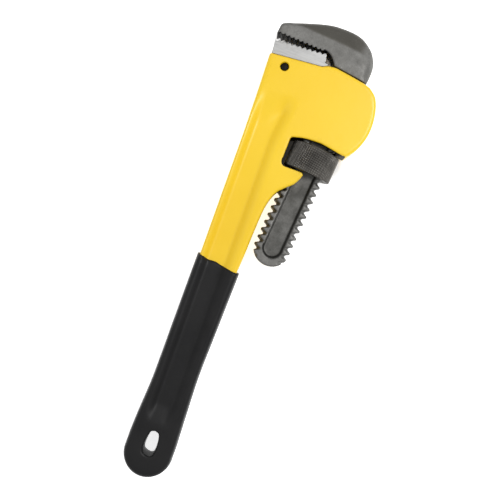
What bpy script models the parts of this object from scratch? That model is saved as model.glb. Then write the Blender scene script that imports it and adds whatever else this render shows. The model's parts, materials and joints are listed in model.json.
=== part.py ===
"""A 350 mm straight pipe wrench, lying on its side, as separate pieces.

The drawing frame is in the wrench's middle plane: x runs across the handle from its back edge,
y along it from the grip's end, and z out of the plane. The shank frame (p, q, z) is the same
plane turned by SHANK_TILT about SHANK_ORIGIN, with q along the middle of the hook jaw's shank.
An empty then carries the drawing to its place, with the nut's lowest line on z = 0.
"""

import math

import bmesh
import bpy
from mathutils import Vector

mm = 0.001
GAP = 0.3 * mm  # between pieces that touch on the real wrench

# ---- driving dimensions ----
DRAWING_CENTRE = (40.25 * mm, 156.87 * mm)  # middle of the overall width and length
SHANK_TILT = math.radians(4.7)  # the shank leans away from the handle
SHANK_ORIGIN = (51.7 * mm, 227.25 * mm)
FULCRUM = (67.9 * mm, 283.0 * mm)  # where the shank rocks on the housing's front lip

PITCH = 5.2 * mm
THREAD_MAJOR = 12.3 * mm
THREAD_MINOR = 9.5 * mm
THREAD_CREST = 1.1 * mm
THREAD_FLANK = 1.45 * mm  # axial length of one flank
THREAD_PHASE = -15.0 * mm  # q of a crest at angle zero
THREAD_TOP = 14.0 * mm  # q where the shank becomes plain
THREAD_STEPS = 24

NUT_RADIUS = 15.6 * mm
NUT_Q = -0.15 * mm  # q of the nut's middle
NUT_HALF_HEIGHT = 8.85 * mm
NUT_CHAMFER = 1.1 * mm
NUT_SIDES = 48

GRIP_HALF = 8.8 * mm
COAT = 1.2 * mm  # thickness of the dipped coating
HANDLE_HALF = GRIP_HALF - COAT
HOUSING_HALF = 12.0 * mm
TAPER_START, TAPER_END = 150.0 * mm, 240.0 * mm  # y where the handle thickens to the housing
EDGE = 1.5 * mm  # chamfer on the casting's outer edges
GRIP_EDGE = 2.2 * mm

SHANK_HALF_WIDTH = 12.1 * mm
SHANK_HALF = 6.75 * mm
SHANK_END = -73.6 * mm
HEAD_HALF = 9.5 * mm
HEAD_EDGE = 2.2 * mm
CHANNEL_HALF = SHANK_HALF + 0.65 * mm

HEEL_HALF = 10.0 * mm
TONGUE_HALF = 4.0 * mm
PIN_CENTRE = (14.6 * mm, 277.6 * mm)
PIN_RADIUS = 2.5 * mm
PIN_HALF = 10.4 * mm
PIN_CHAMFER = 0.5 * mm

SPRING_HALF = 4.5 * mm  # half the leaf spring's width
LEAF = 0.9 * mm
RIVET_Q = 46.0 * mm
COIL_Q = 21.0 * mm
COIL_RADIUS = 3.2 * mm
COIL_WIRE = 0.5 * mm
COIL_TURNS = 5
POCKET_END = -24.0 * mm  # p of the coil pocket's floor


# ---- outlines ----
def arc(centre, radius, start, end, steps):
    """Points on an arc, in degrees from +x."""
    angles = [math.radians(start + (end - start) * i / steps) for i in range(steps + 1)]
    return [(centre[0] + radius * math.cos(a), centre[1] + radius * math.sin(a)) for a in angles]


def spline(points, steps=4):
    """A smooth curve through the points (Catmull-Rom)."""
    ends = [Vector(points[0]) * 2 - Vector(points[1]), Vector(points[-1]) * 2 - Vector(points[-2])]
    run = [ends[0], *map(Vector, points), ends[1]]
    curve = []
    for a, b, c, d in zip(run, run[1:], run[2:], run[3:]):
        for i in range(steps):
            t = i / steps
            curve.append(
                0.5 * (2 * b + (c - a) * t + (2 * a - 5 * b + 4 * c - d) * t**2 + (3 * b - 3 * c + d - a) * t**3)
            )
    return [tuple(p) for p in curve] + [tuple(points[-1])]


def rounded(corners, steps=3):
    """A chain of corners (x, y, radius) with each one turned into an arc. The first and last stay sharp."""
    chain = [corners[0][:2]]
    for before, (x, y, radius), after in zip(corners, corners[1:], corners[2:]):
        corner = Vector((x, y))
        back = (Vector(before[:2]) - corner).normalized()
        ahead = (Vector(after[:2]) - corner).normalized()
        half = back.angle(ahead) / 2
        centre = corner + (back + ahead).normalized() * radius / math.sin(half)
        first = corner + back * radius / math.tan(half) - centre
        turn = math.copysign(math.pi - 2 * half, ahead.cross(back))
        start = math.atan2(first.y, first.x)
        degrees = math.degrees(start), math.degrees(start + turn)
        chain += arc(centre, radius, *degrees, steps) if radius else [(x, y)]
    return chain + [corners[-1][:2]]


def scaled(points):
    """Numbers in millimetres as metres."""
    return [tuple(value * mm for value in point) for point in points]


def offset(path, distance):
    """An open path moved to its left by a distance."""
    moved = []
    for i, point in enumerate(path):
        along = Vector(path[min(i + 1, len(path) - 1)]) - Vector(path[max(i - 1, 0)])
        left = Vector((-along.y, along.x)).normalized()
        moved.append(tuple(Vector(point) + left * distance))
    return moved


def inset(outline, distance, count=None):
    """A closed anticlockwise outline moved inwards, corner by corner. Only the first count points move."""
    moved = []
    for before, point, after in zip(outline[-1:] + outline[:-1], outline, outline[1:] + outline[:1]):
        first = (Vector(point) - Vector(before)).normalized()
        second = (Vector(after) - Vector(point)).normalized()
        normals = Vector((-first.y, first.x)), Vector((-second.y, second.x))
        middle = (normals[0] + normals[1]).normalized()
        moved.append(tuple(Vector(point) + middle * distance / max(0.5, middle.dot(normals[0]))))
    return moved[:count] + outline[len(moved[:count]) :]


def teeth(start, end, count, depth, rake=0.3):
    """Saw teeth from start to end, cut to the left of that line. The tips lie on the line."""
    start, end = Vector(start), Vector(end)
    step = (end - start) / count
    inwards = Vector((-step.y, step.x)).normalized() * depth
    points = []
    for i in range(count):
        tip = start + step * i
        points += [tip, tip + step * 0.16, tip + step * (0.5 + rake * 0.5) + inwards]
    return [tuple(p) for p in points + [end]]


def to_drawing(p, q):
    """A point of the shank frame in the drawing frame."""
    c, s = math.cos(SHANK_TILT), math.sin(SHANK_TILT)
    return SHANK_ORIGIN[0] + p * c + q * s, SHANK_ORIGIN[1] - p * s + q * c


# ---- solids ----
def mesh_object(name, points, faces, parent=None):
    mesh = bpy.data.meshes.new(name)
    mesh.from_pydata([tuple(p) for p in points], [], faces)
    made = bpy.data.objects.new(name, mesh)
    bpy.context.scene.collection.objects.link(made)
    made.parent = parent
    bm = bmesh.new()
    bm.from_mesh(mesh)
    bmesh.ops.recalc_face_normals(bm, faces=bm.faces)
    bm.to_mesh(mesh)
    bm.free()
    return made


def loft(name, rings, parent=None):
    """Rings of equal length joined in order, with both ends closed."""
    n = len(rings[0])
    points = [p for ring in rings for p in ring]
    faces = [tuple(range(n)), tuple(range(len(points) - n, len(points)))]
    for k in range(len(rings) - 1):
        for i in range(n):
            j = (i + 1) % n
            faces.append((k * n + i, k * n + j, (k + 1) * n + j, (k + 1) * n + i))
    return mesh_object(name, points, faces, parent)


def prism(name, outline, half, edge=0.0, parent=None, chamfered=None):
    """The outline drawn out to both sides of the middle plane. Its rims are chamfered, or only
    those of its first points."""
    layers = [(-half, 0.0), (half, 0.0)]
    if edge:
        layers = [(-half, edge), (edge - half, 0.0), (half - edge, 0.0), (half, edge)]
    rings = []
    for z, shrink in layers:
        ring = inset(outline, shrink, chamfered) if shrink else outline
        rings.append([(x, y, z) for x, y in ring])
    return loft(name, rings, parent)


def taper_thickness(made, flat_half, half_at, stations):
    """Gives a prism the half thickness half_at(y), which is straight between the stations."""
    bm = bmesh.new()
    bm.from_mesh(made.data)
    for y in stations:
        everything = bm.verts[:] + bm.edges[:] + bm.faces[:]
        bmesh.ops.bisect_plane(bm, geom=everything, plane_co=(0, y, 0), plane_no=(0, 1, 0))
    for vert in bm.verts:
        vert.co.z += math.copysign(1, vert.co.z) * (half_at(vert.co.y) - flat_half)
    bm.to_mesh(made.data)
    bm.free()


def turned(name, profile, steps, parent=None):
    """A profile of (radius, height) turned about the y axis. It closes on the axis or on itself."""
    rings = []
    for i in range(steps):
        angle = 2 * math.pi * i / steps
        rings.append([(r * math.sin(angle), h, r * math.cos(angle)) for r, h in profile])
    points = [p for ring in rings for p in ring]
    n = len(profile)
    faces = []
    for i in range(steps):
        a, b = i * n, (i + 1) % steps * n
        faces += [(a + k, b + k, b + (k + 1) % n, a + (k + 1) % n) for k in range(n)]
    made = mesh_object(name, points, faces, parent)
    bm = bmesh.new()
    bm.from_mesh(made.data)
    bmesh.ops.remove_doubles(bm, verts=bm.verts, dist=1e-7)
    bmesh.ops.recalc_face_normals(bm, faces=bm.faces)
    bm.to_mesh(made.data)
    bm.free()
    return made


def threaded_rod(name, clearance, low, high, collar=None, parent=None):
    """A right-hand threaded rod about q from low to high, grown by a clearance. Above high it can
    go on as a collar (radius, top)."""
    crest = THREAD_CREST / 2 + clearance
    profile = [
        (THREAD_MINOR + clearance, -crest - THREAD_FLANK),
        (THREAD_MAJOR + clearance, -crest),
        (THREAD_MAJOR + clearance, crest),
        (THREAD_MINOR + clearance, crest + THREAD_FLANK),
    ]
    first = math.floor((low - THREAD_PHASE) / PITCH) - 1
    last = math.ceil((high - THREAD_PHASE) / PITCH)
    run = [(r, THREAD_PHASE + turn * PITCH + h) for turn in range(first, last + 1) for r, h in profile]
    n, per_turn = len(run), len(profile)
    points = []
    for i in range(THREAD_STEPS):
        angle = 2 * math.pi * i / THREAD_STEPS
        rise = PITCH * i / THREAD_STEPS
        points += [(r * math.sin(angle), h + rise, r * math.cos(angle)) for r, h in run]
    faces = []
    for i in range(THREAD_STEPS):
        wraps = i == THREAD_STEPS - 1
        a, b = i * n, 0 if wraps else (i + 1) * n
        shift = per_turn if wraps else 0
        for k in range(n - 1):
            if k + 1 + shift < n:
                faces.append((a + k, b + k + shift, b + k + 1 + shift, a + k + 1))
    bottom = [i * n for i in range(THREAD_STEPS)] + list(range(per_turn, 0, -1))
    top_of = [i * n + n - 1 for i in range(THREAD_STEPS - 1)]
    seam = (THREAD_STEPS - 1) * n
    top = top_of + list(range(seam + n - 1, seam + n - 1 - per_turn - 1, -1))
    points += [(0, run[0][1], 0), (0, run[-1][1] + PITCH / 2, 0)]
    for centre, loop in ((len(points) - 2, bottom), (len(points) - 1, top)):
        faces += [(centre, loop[i], loop[(i + 1) % len(loop)]) for i in range(len(loop))]
    rod = mesh_object(name, points, faces, parent)
    if collar:
        radius, end = collar
        ring = turned(f"{name}_collar", [(0, high), (radius, high), (radius, end), (0, end)], 24, parent)
        combine(rod, "UNION", ring)
    return rod


def combine(target, operation, *others):
    """Boolean modifiers on the target. The other objects become hidden helpers."""
    for other in others:
        modifier = target.modifiers.new(other.name, "BOOLEAN")
        modifier.operation = operation
        modifier.object = other
        other.hide_render = True
        other.display_type = "WIRE"
    return target


# ---- frames ----
def clear_scene():
    for old in list(bpy.data.objects):
        bpy.data.objects.remove(old, do_unlink=True)


def empty(name, location, parent=None, turn=0.0):
    made = bpy.data.objects.new(name, None)
    bpy.context.scene.collection.objects.link(made)
    made.parent = parent
    made.location = location
    made.rotation_euler = (0, 0, turn)
    return made


# ---- the handle casting and its coating ----
GRIP_BACK = scaled([(2.7, 147.0), (2.5, 100.0), (2.3, 62.0), (0.9, 38.0), (0.5, 25.0)])
GRIP_FRONT = scaled([(31.7, 25.0), (30.3, 50.0), (29.7, 72.0), (30.5, 102.0), (31.7, 142.8)])
GRIP_END = ((16.1 * mm, 15.9 * mm), 15.6 * mm)  # centre and radius of the round end
HANG_HOLE = scaled([(15.8, 31.8), (12.9, 30.2), (11.6, 24.0), (11.8, 18.5), (13.6, 16.0), (17.5, 15.4),
                    (19.6, 17.6), (20.0, 24.0), (18.7, 30.2), (15.8, 31.8)])
RECESS_FLOOR = (9.8 * mm, 20.8 * mm)  # x of the web's two sides
RECESS_BACK_SLOPE, RECESS_FRONT_SLOPE = 0.92, 1.55  # run of each side wall for one unit of height
RECESS_STATIONS = scaled([(33.0, 7.9), (45.0, 4.0), (150.0, 4.0), (240.0, 8.4), (263.0, 12.4)])


def grip_path():
    """The coating's outer edge, from its top at the back round the end to its top at the front."""
    return spline(GRIP_BACK) + arc(*GRIP_END, 175, 365, 12) + spline(GRIP_FRONT)


def hang_hole(grow):
    return inset(spline(HANG_HOLE, 2)[:-1], -grow)


def recess_cutters(name, grow, parent):
    """The I-section's two recesses as solids to cut away, made smaller by a coat of thickness grow."""
    top = 15 * mm
    cutters = []
    for side in (1, -1):
        rings = []
        for y, floor in RECESS_STATIONS:
            low = floor + grow
            back, front = RECESS_FLOOR[0] + 0.4 * grow, RECESS_FLOOR[1] - 0.4 * grow
            section = [
                (back - RECESS_BACK_SLOPE * (top - low), top),
                (back, low),
                (front, low),
                (front + RECESS_FRONT_SLOPE * (top - low), top),
            ]
            rings.append([(x, y, z * side) for x, z in section])
        cutters.append(loft(f"{name}_{side}", rings, parent))
    return cutters


def casting_outline():
    """The handle and housing, anticlockwise from the foot of the exposed front edge."""
    front = spline(scaled([(31.2, 155.0), (31.9, 172.0), (33.2, 189.0), (36.3, 199.3), (41.0, 204.8),
                           (45.8, 209.2), (48.4, 214.0)]))
    window = rounded(scaled([(48.4, 214.0, 0), (49.6, 218.0, 1.8), (33.3, 218.0, 3.0), (33.6, 236.5, 2.2),
                             (42.0, 238.5, 30.0), (53.0, 238.9, 30.0), (69.2, 236.3, 0)]))
    belly = spline(scaled([(70.4, 236.4), (73.2, 240.3), (76.8, 246.6), (79.2, 254.0), (80.0, 262.0),
                           (78.7, 271.0), (75.4, 278.3), (70.6, 282.9)]))
    top = rounded(scaled([(70.6, 282.9, 0), (67.4, 284.4, 0), (58.0, 286.2, 6.0), (46.0, 288.1, 4.0),
                          (41.4, 287.7, 0), (37.0, 285.6, 0), (3.6, 283.0, 0), (2.8, 281.0, 0),
                          (3.4, 262.0, 30.0), (4.0, 230.0, 40.0), (3.9, 180.0, 0)]))
    grip = offset(grip_path(), COAT)
    return front[:-1] + window + belly + top[1:] + grip


def casting_half(y):
    share = min(1.0, max(0.0, (y - TAPER_START) / (TAPER_END - TAPER_START)))
    return HANDLE_HALF + (HOUSING_HALF - HANDLE_HALF) * share


def channel_cutter(parent):
    """The passage for the shank, with room behind it for the springs, and the slot between the lug's cheeks."""
    front = SHANK_HALF_WIDTH + 0.4 * mm
    outline = scaled([(-14.6, -50.0), (30.0, -50.0), (30.0, 0.0)])
    outline += [(front, 0.0), (front, 80 * mm)]
    outline += scaled([(-12.9, 80.0), (-12.9, 55.0), (-16.4, 51.5), (-16.6, 9.0), (-16.6, -6.0), (-14.6, -6.0)])
    return prism("channel_cutter", outline, CHANNEL_HALF, parent=parent)


def make_casting(parent, shank):
    made = prism("handle_casting", casting_outline(), HOUSING_HALF, EDGE, parent)
    taper_thickness(made, HOUSING_HALF, casting_half, (TAPER_START, TAPER_END))
    recesses = recess_cutters("casting_recess", 0.0, parent)
    hole = prism("casting_hang_hole", hang_hole(COAT), 20 * mm, parent=parent)
    tongue = scaled([(6.7, 271.8), (25.3, 271.8), (25.3, 300.0), (6.7, 300.0)])
    slot = prism("tongue_slot", tongue, TONGUE_HALF + GAP, parent=parent)
    pin = turned("pin_hole", [(0, -20 * mm), (PIN_RADIUS + GAP, -20 * mm), (PIN_RADIUS + GAP, 20 * mm), (0, 20 * mm)],
                 20, parent)
    pin.location = (*PIN_CENTRE, 0)
    pin.rotation_euler = (math.pi / 2, 0, 0)
    pocket = across_shank("coil_pocket", COIL_RADIUS + COIL_WIRE + GAP, POCKET_END, -10 * mm, COIL_Q, 20, shank)
    rivet = across_shank("rivet_hole", 1.3 * mm, -21.5 * mm, -10 * mm, RIVET_Q, 12, shank)
    return combine(made, "DIFFERENCE", *recesses, hole, channel_cutter(shank), slot, pin, pocket, rivet)


def across_shank(name, radius, start, end, q, steps, shank):
    """A cylinder along p, at height q."""
    made = turned(name, [(0, start), (radius, start), (radius, end), (0, end)], steps, shank)
    made.rotation_euler = (0, 0, -math.pi / 2)
    made.location = (0, q, 0)
    return made


def make_grip(parent):
    """The dipped coating: a skin over the handle's lower half that also lines the hang hole."""
    skin = prism("grip_coating", grip_path(), GRIP_HALF, GRIP_EDGE, parent)
    inner = offset(grip_path(), COAT - GAP)
    over_top = [(inner[-1][0], 170 * mm), (inner[0][0], 170 * mm)]
    grown_edge = EDGE + (2 - math.sqrt(2)) * GAP
    core = prism("grip_core", inner + over_top, HANDLE_HALF + GAP, grown_edge, parent)
    lining = prism("grip_lining", hang_hole(COAT - GAP), 20 * mm, parent=parent)
    combine(core, "DIFFERENCE", *recess_cutters("core_recess", GAP, parent), lining)
    hole = prism("grip_hang_hole", hang_hole(0.0), 20 * mm, parent=parent)
    return combine(skin, "DIFFERENCE", *recess_cutters("grip_recess", COAT, parent), core, hole)


# ---- the jaws ----
HEEL_TIPS = scaled([(36.5, 294.7), (3.1, 292.7)])
HEEL_TEETH = 10
HOOK_TIPS = scaled([(-54.5, 65.5), (-23.7, 66.35)])
HOOK_TEETH = 10
TOOTH_DEPTH = 1.15 * mm


def make_heel_jaw(parent):
    """The fixed jaw: a toothed block on the casting's seat, with a tongue down its middle."""
    top = teeth(*HEEL_TIPS, HEEL_TEETH, TOOTH_DEPTH)
    seat = scaled([(3.75, 283.35), (36.9, 285.95), (41.0, 287.95), (40.2, 288.7), (38.2, 288.9), (37.4, 294.0)])
    block = prism("heel_jaw", seat + top, HEEL_HALF, parent=parent)
    tongue = prism("heel_tongue", scaled([(7.0, 272.1), (25.0, 272.1), (25.0, 289.0), (7.0, 289.0)]),
                   TONGUE_HALF, parent=parent)
    hole = turned("heel_pin_hole", [(0, -20 * mm), (PIN_RADIUS + GAP, -20 * mm), (PIN_RADIUS + GAP, 20 * mm),
                                    (0, 20 * mm)], 20, parent)
    hole.location = (*PIN_CENTRE, 0)
    hole.rotation_euler = (math.pi / 2, 0, 0)
    combine(block, "UNION", tongue)
    return combine(block, "DIFFERENCE", hole)


def make_heel_pin(parent):
    """A straight pin, driven through the housing and the heel jaw's tongue until its ends are sunk."""
    shoulder = PIN_HALF - PIN_CHAMFER
    end = PIN_RADIUS - PIN_CHAMFER
    profile = [(0, -PIN_HALF), (end, -PIN_HALF), (PIN_RADIUS, -shoulder), (PIN_RADIUS, shoulder), (end, PIN_HALF),
               (0, PIN_HALF)]
    made = turned("heel_jaw_pin", profile, 24, parent)
    made.location = (*PIN_CENTRE, 0)
    made.rotation_euler = (math.pi / 2, 0, 0)
    return made


def hook_head_outline():
    """The hook above the housing, anticlockwise from the foot of its back: (back and nose, teeth and throat)."""
    back = spline(scaled([(11.4, 59.9), (11.2, 64.0), (10.4, 69.0), (8.6, 73.6), (5.6, 78.1), (0.6, 82.2),
                          (-4.5, 84.6), (-11.5, 85.4), (-21.5, 84.5), (-29.5, 82.3), (-39.5, 78.4), (-48.8, 74.9)]))
    nose = rounded(scaled([(-48.8, 74.9, 0), (-54.3, 72.3, 3.0), (-54.5, 65.5, 0)]))
    tips = teeth(*HOOK_TIPS, HOOK_TEETH, TOOTH_DEPTH)
    throat = spline(scaled([(-22.2, 68.0), (-19.7, 67.5), (-17.0, 66.2), (-14.6, 64.0), (-12.1, 61.4)]), 2)
    return back[:-1] + nose[:-1], tips + throat


def shank_outline():
    """The shank from inside the head to its round end, anticlockwise from the end."""
    end = arc((0, -62.0 * mm), 1.0, 180, 360, 12)
    end = [(x * SHANK_HALF_WIDTH, -62.0 * mm + (y + 62.0 * mm) * (-62.0 * mm - SHANK_END)) for x, y in end]
    return end + scaled([(12.1, 45.0), (11.5, 57.0), (10.9, 62.0), (9.0, 69.0), (-10.6, 68.0), (-12.1, 61.0)])


def make_hook_jaw(shank):
    made = prism("hook_jaw", shank_outline(), SHANK_HALF, parent=shank)
    back, mouth = hook_head_outline()
    head = prism("hook_head", back + mouth, HEAD_HALF, HEAD_EDGE, shank, len(back))
    keep = threaded_rod("shank_thread", 0.0, SHANK_END - 2 * PITCH, THREAD_TOP, (60 * mm, 100 * mm), shank)
    combine(made, "INTERSECT", keep)
    combine(made, "UNION", head)
    for side in (1, -1):
        panel = arc((0, -61.4 * mm), 6.2 * mm, 180, 360, 10) + scaled([(6.2, 40.0), (-6.2, 40.0)])
        floor = [(x, y, (SHANK_HALF - 2 * mm) * side) for x, y in inset(panel, 1.1 * mm)]
        brim = [(x, y, (SHANK_HALF + 1 * mm) * side) for x, y in inset(panel, -0.55 * mm)]
        combine(made, "DIFFERENCE", loft(f"shank_panel_{side}", [floor, brim], shank))
    return made


# ---- the nut and the springs ----
def make_nut(shank):
    low, high = NUT_Q - NUT_HALF_HEIGHT, NUT_Q + NUT_HALF_HEIGHT
    inner, rim = 4 * mm, NUT_RADIUS - NUT_CHAMFER
    profile = [(inner, low), (rim, low), (NUT_RADIUS, low + NUT_CHAMFER), (NUT_RADIUS, high - NUT_CHAMFER),
               (rim, high), (inner, high)]
    made = turned("adjusting_nut", profile, NUT_SIDES, shank)
    return combine(made, "DIFFERENCE", threaded_rod("nut_thread", GAP, low - PITCH, high + PITCH, parent=shank))


def make_leaf_spring(shank, pivot):
    """A flat strip riveted to the back of the channel. Its lower part bows out to press on the shank."""
    path = spline(scaled([(-15.2, 50.2), (-15.2, 42.0), (-14.0, 33.0), (-12.4, 22.0), (-12.8, 14.0), (-14.2, 11.0)]))
    strip = path + [*reversed(offset(path, -LEAF))]
    made = prism("leaf_spring", [to_drawing(*p) for p in strip], SPRING_HALF, parent=pivot)
    made.location = (-FULCRUM[0], -FULCRUM[1], 0)
    hole = across_shank("leaf_rivet_hole", 1.3 * mm, -20 * mm, -10 * mm, RIVET_Q, 12, shank)
    return combine(made, "DIFFERENCE", hole)


def make_rivet(shank):
    """Holds the leaf spring: a round head on the strip and a shank in the casting."""
    made = turned("spring_rivet", [(0, -21 * mm), (1.0 * mm, -21 * mm), (1.0 * mm, -14.9 * mm), (2.3 * mm, -14.9 * mm),
                                   (2.0 * mm, -14.2 * mm), (0, -13.8 * mm)], 12, shank)
    made.rotation_euler = (0, 0, -math.pi / 2)
    made.location = (0, RIVET_Q, 0)
    return made


def make_coil_spring(shank):
    """Sits in the casting's pocket and pushes the leaf spring's lower part forward."""
    curve = bpy.data.curves.new("coil_spring", "CURVE")
    curve.dimensions = "3D"
    curve.bevel_depth = COIL_WIRE
    curve.bevel_resolution = 1
    curve.use_fill_caps = True
    steps = 12 * COIL_TURNS
    start, end = POCKET_END + COIL_WIRE + GAP, -14.2 * mm
    line = curve.splines.new("POLY")
    line.points.add(steps)
    for i, point in enumerate(line.points):
        angle = 2 * math.pi * i / 12
        p = start + (end - start) * i / steps
        point.co = (p, COIL_Q + COIL_RADIUS * math.cos(angle), COIL_RADIUS * math.sin(angle), 1)
    made = bpy.data.objects.new("coil_spring", curve)
    bpy.context.scene.collection.objects.link(made)
    made.parent = shank
    return made


# ---- materials ----
FINISHES = {  # base colour, metallic, roughness
    "yellow_paint": ((0.93, 0.62, 0.03), 0.0, 0.35),
    "black_vinyl": ((0.02, 0.02, 0.02), 0.0, 0.45),
    "forged_steel": ((0.13, 0.125, 0.12), 0.7, 0.5),
    "blackened_steel": ((0.09, 0.085, 0.08), 0.7, 0.5),
    "bright_steel": ((0.5, 0.5, 0.5), 0.8, 0.4),
    "spring_steel": ((0.2, 0.2, 0.21), 0.9, 0.35),
}


def paint(made, finish):
    material = bpy.data.materials.get(finish) or bpy.data.materials.new(finish)
    material.use_nodes = True
    shader = material.node_tree.nodes["Principled BSDF"]
    colour, metallic, roughness = FINISHES[finish]
    shader.inputs["Base Color"].default_value = (*colour, 1)
    shader.inputs["Metallic"].default_value = metallic
    shader.inputs["Roughness"].default_value = roughness
    made.data.materials.append(material)


def main():
    clear_scene()
    wrench = empty("wrench", (-DRAWING_CENTRE[0], -DRAWING_CENTRE[1], NUT_RADIUS))
    shank = empty("shank_axis", (*SHANK_ORIGIN, 0), wrench, -SHANK_TILT)
    pivot = empty("rock_pivot", (*FULCRUM, 0), wrench)
    paint(make_casting(wrench, shank), "yellow_paint")
    paint(make_grip(wrench), "black_vinyl")
    paint(make_heel_jaw(wrench), "bright_steel")
    paint(make_heel_pin(wrench), "blackened_steel")
    paint(make_hook_jaw(shank), "forged_steel")
    paint(make_nut(shank), "blackened_steel")
    paint(make_leaf_spring(shank, pivot), "spring_steel")
    paint(make_rivet(shank), "spring_steel")
    paint(make_coil_spring(shank), "spring_steel")


main()
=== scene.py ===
"""Looks of the pipe wrench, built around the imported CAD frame.

Drawing frame, in millimetres: x across the handle from its back edge, y from the grip's end, z out
of the middle plane. Shank frame (p, q, z): the same plane with q along the hook jaw's shank. Meshes
are made in one of the two frames, in metres, and their objects carry them to the row frame.
"""

import json
import math

import bmesh
import bpy
import numpy as np
from mathutils import Matrix, Vector, geometry


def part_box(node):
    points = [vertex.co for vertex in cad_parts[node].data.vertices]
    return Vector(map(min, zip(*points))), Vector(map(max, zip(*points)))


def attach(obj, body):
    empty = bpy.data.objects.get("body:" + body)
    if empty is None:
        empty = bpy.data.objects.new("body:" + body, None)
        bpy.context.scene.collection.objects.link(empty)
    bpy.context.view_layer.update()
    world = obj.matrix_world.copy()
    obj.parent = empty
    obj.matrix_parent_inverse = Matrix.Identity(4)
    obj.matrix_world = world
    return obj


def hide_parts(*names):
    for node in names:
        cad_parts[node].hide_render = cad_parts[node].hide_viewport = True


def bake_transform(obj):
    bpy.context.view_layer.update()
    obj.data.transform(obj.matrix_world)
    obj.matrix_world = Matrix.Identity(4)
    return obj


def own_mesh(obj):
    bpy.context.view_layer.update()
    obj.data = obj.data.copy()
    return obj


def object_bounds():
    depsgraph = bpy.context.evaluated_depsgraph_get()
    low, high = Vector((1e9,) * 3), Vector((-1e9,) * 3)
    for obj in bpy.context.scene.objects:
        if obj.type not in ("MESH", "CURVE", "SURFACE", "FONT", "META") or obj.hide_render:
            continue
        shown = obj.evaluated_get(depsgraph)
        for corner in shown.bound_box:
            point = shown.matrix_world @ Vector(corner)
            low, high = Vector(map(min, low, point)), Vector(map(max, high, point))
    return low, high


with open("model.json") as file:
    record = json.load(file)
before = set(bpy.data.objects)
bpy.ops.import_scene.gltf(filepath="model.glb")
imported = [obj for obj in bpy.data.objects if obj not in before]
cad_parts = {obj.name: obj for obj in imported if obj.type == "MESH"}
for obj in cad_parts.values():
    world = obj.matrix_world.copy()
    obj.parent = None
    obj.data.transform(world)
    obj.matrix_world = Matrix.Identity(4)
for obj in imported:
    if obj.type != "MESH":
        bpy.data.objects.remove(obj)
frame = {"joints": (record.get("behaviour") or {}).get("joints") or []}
cad_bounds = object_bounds()

mm = 0.001

# ---- the two frames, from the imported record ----
JOINTS = {joint["name"]: joint for joint in frame["joints"]}
PIN_CENTRE = (14.6, 277.6)
PIN_LOW, PIN_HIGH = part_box("heel_jaw_pin")
ORIGIN = (PIN_LOW + PIN_HIGH) / 2 - Vector((*PIN_CENTRE, 0)) * mm
DRAWING = Matrix.Translation(ORIGIN)
SLIDE = Vector(JOINTS["jaw_slide"]["axis"])
TILT = math.atan2(SLIDE.x, SLIDE.y)
SHANK = Matrix.Translation(JOINTS["nut_turn"]["pos_m"]) @ Matrix.Rotation(-TILT, 4, "Z")

# ---- dimensions in millimetres, as in the CAD source but for the nut's radius, 0.5 more here ----
HANDLE_HALF, HOUSING_HALF = 7.6, 12.0
TAPER_START, TAPER_END = 150.0, 240.0
GRIP_HALF, COAT = 8.8, 1.2
RECESS_DEPTH = 3.6
SHANK_HALF_WIDTH, SHANK_HALF, SHANK_END = 12.1, 6.75, -73.6
HEAD_HALF, HEEL_HALF, TONGUE_HALF = 9.5, 10.0, 4.0
PITCH, THREAD_MAJOR, THREAD_MINOR = 5.2, 12.3, 9.5
THREAD_CREST, THREAD_FLANK, THREAD_PHASE, THREAD_TOP = 1.1, 1.45, -15.0, 14.0
NUT_RADIUS, NUT_Q, NUT_HALF_HEIGHT, NUT_CHAMFER = 16.1, -0.15, 8.85, 1.1
KNURL_DEPTH = 0.55
PIN_RADIUS, PIN_HALF, GAP = 2.5, 10.4, 0.3
RIVET_Q, RIVET_HOLE, RIVET_END = 46.0, 1.3, -21.5
COIL_Q, COIL_RADIUS, COIL_WIRE, COIL_TURNS, POCKET_END = 21.0, 3.2, 0.5, 5, -24.0
SPRING_HALF, LEAF = 4.5, 0.9
THROUGH = 16.0  # half the height of a cutter that passes right through
STEP = 0.9  # distance between points along most outlines


# ---- curves in a plane, as arrays of points ----
SAME_POINT = 0.02  # mm


def arc(centre, radius, start, end, steps):
    angles = np.radians(np.linspace(start, end, steps + 1))
    return np.stack([centre[0] + radius * np.cos(angles), centre[1] + radius * np.sin(angles)], 1)


def spline(points, steps=10):
    """A smooth curve through the points (Catmull-Rom)."""
    points = np.array(points, float)
    run = np.vstack([2 * points[0] - points[1], points, 2 * points[-1] - points[-2]])
    t = (np.arange(steps) / steps)[:, None]
    pieces = []
    for a, b, c, d in zip(run, run[1:], run[2:], run[3:]):
        square, cube = 2 * a - 5 * b + 4 * c - d, 3 * b - 3 * c + d - a
        pieces.append(0.5 * (2 * b + (c - a) * t + square * t**2 + cube * t**3))
    return np.vstack(pieces + [points[-1:]])


def rounded(corners, steps=8):
    """A chain of corners (x, y, radius), each one turned into an arc. The first and last stay sharp."""
    chain = [np.array([corners[0][:2]], float)]
    for before, (x, y, radius), after in zip(corners, corners[1:], corners[2:]):
        corner = Vector((x, y))
        back = (Vector(before[:2]) - corner).normalized()
        ahead = (Vector(after[:2]) - corner).normalized()
        half = back.angle(ahead) / 2
        centre = corner + (back + ahead).normalized() * radius / math.sin(half)
        first = corner + back * radius / math.tan(half) - centre
        turn = math.copysign(math.pi - 2 * half, ahead.cross(back))
        start = math.degrees(math.atan2(first.y, first.x))
        end = start + math.degrees(turn)
        chain.append(arc(centre, radius, start, end, steps) if radius else np.array([(x, y)], float))
    return np.vstack(chain + [np.array([corners[-1][:2]], float)])


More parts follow.
